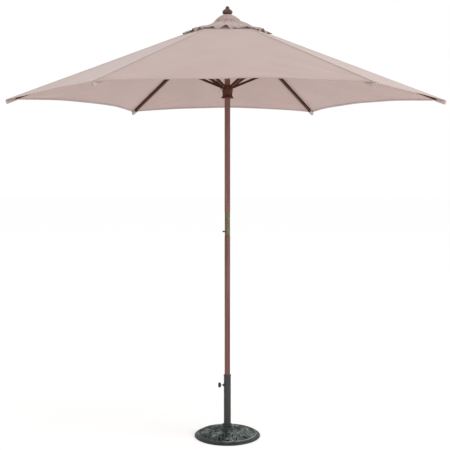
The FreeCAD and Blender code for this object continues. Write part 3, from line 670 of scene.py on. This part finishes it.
def pocket(rib):
    """The sewn pocket over a rib's end: open towards the pole, and closed flat at the corner."""
    node = frame["nodes"][f"tip_pocket_{rib + 1}"].data
    own = rib_space(rib).inverted()
    corners = np.array([own @ v.co for v in node.vertices])
    (start, _, low), (end, wide, high) = corners.min(0), corners.max(0)
    roof = high + 0.0034                              # under the canopy's corner
    rng = np.random.default_rng(90 + rib)
    angle = np.linspace(0, 2 * np.pi, 41)
    inner = [(start + step, -0.0011) for step in (0.010, 0.004, 0.0006)]
    outer = [(start + step, off) for step, off in ((-0.0004, -0.0006), (0.0, 0.0), (0.002, 0.0003))]
    body = [(x, 0.0) for x in np.linspace(start + 0.005, end - 0.009, 16)]
    tail = [(end - 0.006, -0.0010), (end - 0.003, -0.0032), (end - 0.0008, -0.0072), (end, -0.0102)]
    phases = rng.uniform(0, 6.3, 4)
    points, edge = [], []
    for x, off in inner + outer + body + tail:
        c, s = np.cos(angle), np.sin(angle)
        half_y, half_z, middle = wide + off, (roof - low) / 2 + min(off, 0) * 0.25, (roof + low) / 2
        y = half_y * np.sign(c) * np.abs(c) ** 0.55
        z = middle + half_z * np.sign(s) * np.abs(s) ** 0.55
        slack = SLACK * (np.sin(3 * angle + phases[0] + 60 * x)
                         + np.sin(5 * angle + phases[1] - 110 * x))
        y, z = y * (1 + slack / wide), z + slack
        z = np.minimum(z, roof - np.abs(y) * 0.20)
        points.append(np.stack([np.full_like(y, x), y, z], -1))
        edge.append(np.stack([angle * wide, np.full_like(y, (x - start) + STITCH_LINE - 0.008)], -1))
    points = np.array(points)[:, ::-1]
    edge = np.array(edge)[:, ::-1]
    cloth = np.stack([edge[..., 0], points[..., 0]], -1)
    space = np.array(rib_space(rib))
    piece = grid_object(f"pocket_{rib + 1}", points @ space[:3, :3].T + space[:3, 3],
                        {"Cloth": cloth, "Edge": edge}, pocket_cloth)
    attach(piece, f"rib_{rib + 1}")
    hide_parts(f"tip_pocket_{rib + 1}")


def canopy_height(r):
    return APEX - r * math.tan(SLOPE)


for rib in range(RIBS):
    seam(f"canopy_seam_{rib + 1}", rib, VENT, RIM - 0.002, canopy_height)
    seam(f"cap_seam_{rib + 1}", rib, CAP_SEAM_START, CAP_RIM,
         lambda r: cap_height(r) + cap_folds(2 * HALF * rib, r), CAP_SEAM_SHARE)
    pocket(rib)


# ---------------------------------------------------------------- relief on the base
def casting_top():
    """Height of the casting's upper skin against distance from the axis, read from its own mesh."""
    mesh = frame["nodes"]["base_casting"].data
    places = np.array([v.co for v in mesh.vertices])
    upward = np.array([n.vector for n in mesh.vertex_normals])[:, 2] > 0.75
    radius = np.hypot(places[:, 0], places[:, 1])
    order = np.argsort(radius[upward])
    return radius[upward][order], places[upward, 2][order]


SKIN_RADIUS, SKIN_HEIGHT = casting_top()


def skin(x, y):
    return np.interp(np.hypot(x, y), SKIN_RADIUS, SKIN_HEIGHT)


class Relief:
    """Ornament laid on the casting: collects grids of points and makes one mesh of them."""

    LIFT = 0.0006                                      # of a stem's middle line over the skin

    def __init__(self):
        self.points, self.faces, self.count = [], [], 0

    def lay(self, x, y, height):
        """A grid in plan, and its height above the casting's skin."""
        self.solid(np.stack([x, y, skin(x, y) + height], -1))

    def solid(self, grid):
        self.points.append(grid.reshape(-1, 3))
        self.faces.append(grid_faces(*grid.shape[:2]) + self.count)
        self.count += grid.shape[0] * grid.shape[1]

    def leaf(self, start, end, width, bend, rise=0.0050):
        """A veined leaf between two (radius, azimuth in degrees) points, bent sideways."""
        ends = [np.array([r * math.cos(math.radians(a)), r * math.sin(math.radians(a))])
                for r, a in (start, end)]
        along = ends[1] - ends[0]
        side = np.array([-along[1], along[0]]) / np.linalg.norm(along)
        s, t = np.meshgrid(np.linspace(0, 1, 17), np.linspace(-1, 1, 15), indexing="ij")
        outline = width / 2 * np.sin(np.pi * s ** 0.8) ** 0.8 * (1 + 0.10 * np.sin(22 * s))
        middle = bend * np.sin(np.pi * s)
        offset = middle + outline * t
        x = ends[0][0] + along[0] * s + side[0] * offset
        y = ends[0][1] + along[1] * s + side[1] * offset
        edge = np.abs(t)
        height = rise * (1 - edge ** 4) * (0.55 + 0.45 * edge) - 0.0016 * np.exp(-(t / 0.13) ** 2)
        height += 0.0006 * np.sin(26 * s - 7 * edge) * edge * (1 - edge ** 2) * 2
        height -= 0.0030 * edge ** 12
        self.lay(x, y, height * (0.35 + 0.65 * np.sin(np.pi * np.clip(s, 0.02, 0.98)) ** 0.5) - 0.0004)

    def stem(self, x, y, thick, twist=0):
        """A round stem along a line in plan, tapering if thick is an array."""
        line = np.stack([x, y, skin(x, y) + self.LIFT], -1)
        tangent = np.gradient(line, axis=0)
        tangent /= np.linalg.norm(tangent, axis=1, keepdims=True)
        side = np.cross(tangent, (0, 0, 1.0))
        side /= np.linalg.norm(side, axis=1, keepdims=True)
        up = np.cross(side, tangent)
        angle = np.linspace(0, 2 * np.pi, 11)
        radius = np.broadcast_to(thick, x.shape)[:, None]
        if twist:
            lay = twist * np.linspace(0, 2 * np.pi, len(x))[:, None] + angle * 2
            radius = radius * (1 + 0.16 * np.cos(lay))
        ring = np.cos(angle)[None, :, None] * side[:, None] + np.sin(angle)[None, :, None] * up[:, None]
        self.solid(line[:, None] + ring * radius[..., None])

    def scroll(self, centre, size, turns, start, hand):
        """A spiral stem about a (radius, azimuth) point."""
        t = np.linspace(0, 1, 46)
        reach = size * (1 - 0.80 * t)
        angle = math.radians(start) + hand * turns * 2 * np.pi * t
        cx, cy = (centre[0] * f(math.radians(centre[1])) for f in (math.cos, math.sin))
        self.stem(cx + reach * np.cos(angle), cy + reach * np.sin(angle), 0.0024 - 0.0008 * t)
        bead_angle, bead_tilt = np.meshgrid(np.linspace(0, 2 * np.pi, 13), np.linspace(0, np.pi / 2, 6))
        spread = 0.0034 * np.sin(bead_tilt)
        x = cx + reach[-1] * 0.3 + spread * np.cos(bead_angle)
        y = cy + spread * np.sin(bead_angle)
        self.lay(x, y, 0.0030 * np.cos(bead_tilt) - 0.0003)

    def piece(self, name, material):
        return mesh_object(name, np.concatenate(self.points), np.concatenate(self.faces), material)


def base_relief():
    relief = Relief()
    # start, end, width and bend of each leaf in a sixth of the pattern, then its mirror image. They
    # lie on the bars between the casting's openings
    pairs = [((0.131, 13.6), (0.178, 13.8), 0.0150, 0.0010),
             ((0.131, 25.3), (0.178, 24.8), 0.0120, -0.0008),
             ((0.102, 5.6), (0.132, 4.2), 0.0105, -0.0006),
             ((0.092, 19.6), (0.131, 19.6), 0.0105, 0.0004),
             ((0.058, 9.6), (0.092, 9.0), 0.0115, 0.0006),
             ((0.059, 24.6), (0.090, 24.4), 0.0070, 0.0)]
    singles = [((0.130, 0.0), (0.179, 0.0), 0.0225, 0.0), ((0.092, 30.0), (0.138, 30.0), 0.0095, 0.0)]
    for turn in range(0, 360, 360 // RIBS):
        for start, end, width, bend in pairs:
            for hand in (1, -1):
                relief.leaf((start[0], turn + hand * start[1]), (end[0], turn + hand * end[1]),
                            width, hand * bend)
        for start, end, width, bend in singles:
            relief.leaf((start[0], turn + start[1]), (end[0], turn + end[1]), width, bend, 0.0055)
        for hand in (1, -1):
            relief.scroll((0.1300, turn + hand * 11.6), 0.0085, 1.3, turn + hand * 120, hand)
            relief.scroll((0.0915, turn + hand * 15.5), 0.0065, 1.2, turn - hand * 60, -hand)
    round_angle = np.linspace(0, 2 * np.pi, 721)
    for radius, thick, twist in ((0.1800, 0.0024, 90), (0.0395, 0.0018, 30)):
        relief.stem(radius * np.cos(round_angle), radius * np.sin(round_angle), thick, twist=twist)
    piece = relief.piece("base_relief", iron)
    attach(piece, "base")


base_relief()


def dark_shade_disc():
    """A round black disc lying inside the casting's foot ring: painted shade, so that what shows through
    the openings is dark.
    """
    reach, thick, rings, ridge = 0.172, 0.0024, 28, 0.00035
    angle = np.linspace(0, 2 * np.pi, 97)
    profile = [(0.0008, 0.0)] + [(r, 0.0) for r in np.linspace(0.03, reach - 0.001, 6)]
    profile += [(reach - 0.0003, 0.0004), (reach, thick / 2), (reach - 0.0004, thick - 0.0004)]
    profile += [(r, thick + ridge * (n % 2))
                for n, r in enumerate(np.linspace(reach - 0.001, 0.0008, 2 * rings))]
    profile.append(profile[0])
    points = np.array([np.stack([r * np.cos(angle), r * np.sin(angle), np.full_like(angle, z)], -1)
                       for r, z in profile])
    # Near black all over: painted shade beneath the casting.
    piece = mesh_object("dark_shade_disc", points, grid_faces(*points.shape[:2]),
                        plastic("black_shade_disc", (0.004, 0.004, 0.004), 0.7))
    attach(piece, "base")


dark_shade_disc()


# ---------------------------------------------------------------- stage, light and camera
def floor():
    """A pale plain disc."""
    mesh = bpy.data.meshes.new("floor")
    reach, count = 40.0, 96
    ring = [(reach * math.cos(2 * math.pi * n / count), reach * math.sin(2 * math.pi * n / count), 0)
            for n in range(count)]
    mesh.from_pydata(ring, [], [tuple(range(count))])
    made, _, shader = new_material("pale_floor", Roughness=0.9)
    shader.inputs["Base Color"].default_value = (0.99, 0.99, 0.99, 1)
    shader.inputs["Specular IOR Level"].default_value = 0.0
    mesh.materials.append(made)
    disc = bpy.data.objects.new("floor", mesh)
    bpy.context.scene.collection.objects.link(disc)


def lamp(name, place, target, size, power):
    data = bpy.data.lights.new(name, "AREA")
    data.shape, data.size, data.energy = "DISK", size, power
    light = bpy.data.objects.new(name, data)
    light.location = place
    light.rotation_euler = (Vector(target) - Vector(place)).to_track_quat("-Z", "Y").to_euler()
    bpy.context.scene.collection.objects.link(light)


def world():
    made = bpy.data.worlds.new("studio")
    made.use_nodes = True
    made.node_tree.nodes["Background"].inputs["Color"].default_value = (1, 1, 1, 1)
    made.node_tree.nodes["Background"].inputs["Strength"].default_value = 1.0
    bpy.context.scene.world = made


CAMERA_PLACE = (-0.0147, -5.245, 1.704)
CAMERA_LENS = 67.9
CAMERA_YAW, CAMERA_DIP = math.radians(-1.5), math.radians(4.09)


def camera():
    data = bpy.data.cameras.new("camera")
    data.lens, data.sensor_width = CAMERA_LENS, 36.0
    made = bpy.data.objects.new("camera", data)
    made.location = Matrix.Rotation(CAMERA_YAW, 3, "Z") @ Vector(CAMERA_PLACE)
    made.rotation_euler = Euler((math.pi / 2 - CAMERA_DIP, 0, CAMERA_YAW))
    bpy.context.scene.collection.objects.link(made)
    bpy.context.scene.camera = made


floor()
world()
lamp("key", (5.5, -1.5, 5.0), (0, 0, 1.6), size=3.0, power=100)
lamp("fill", (4.6, -3.0, 1.9), (0, 0, 1.4), size=2.5, power=60)
lamp("front", (-1.0, -5.8, 1.7), (0, 0, 2.3), size=1.6, power=45)
camera()
bpy.context.scene.view_settings.view_transform = "Standard"
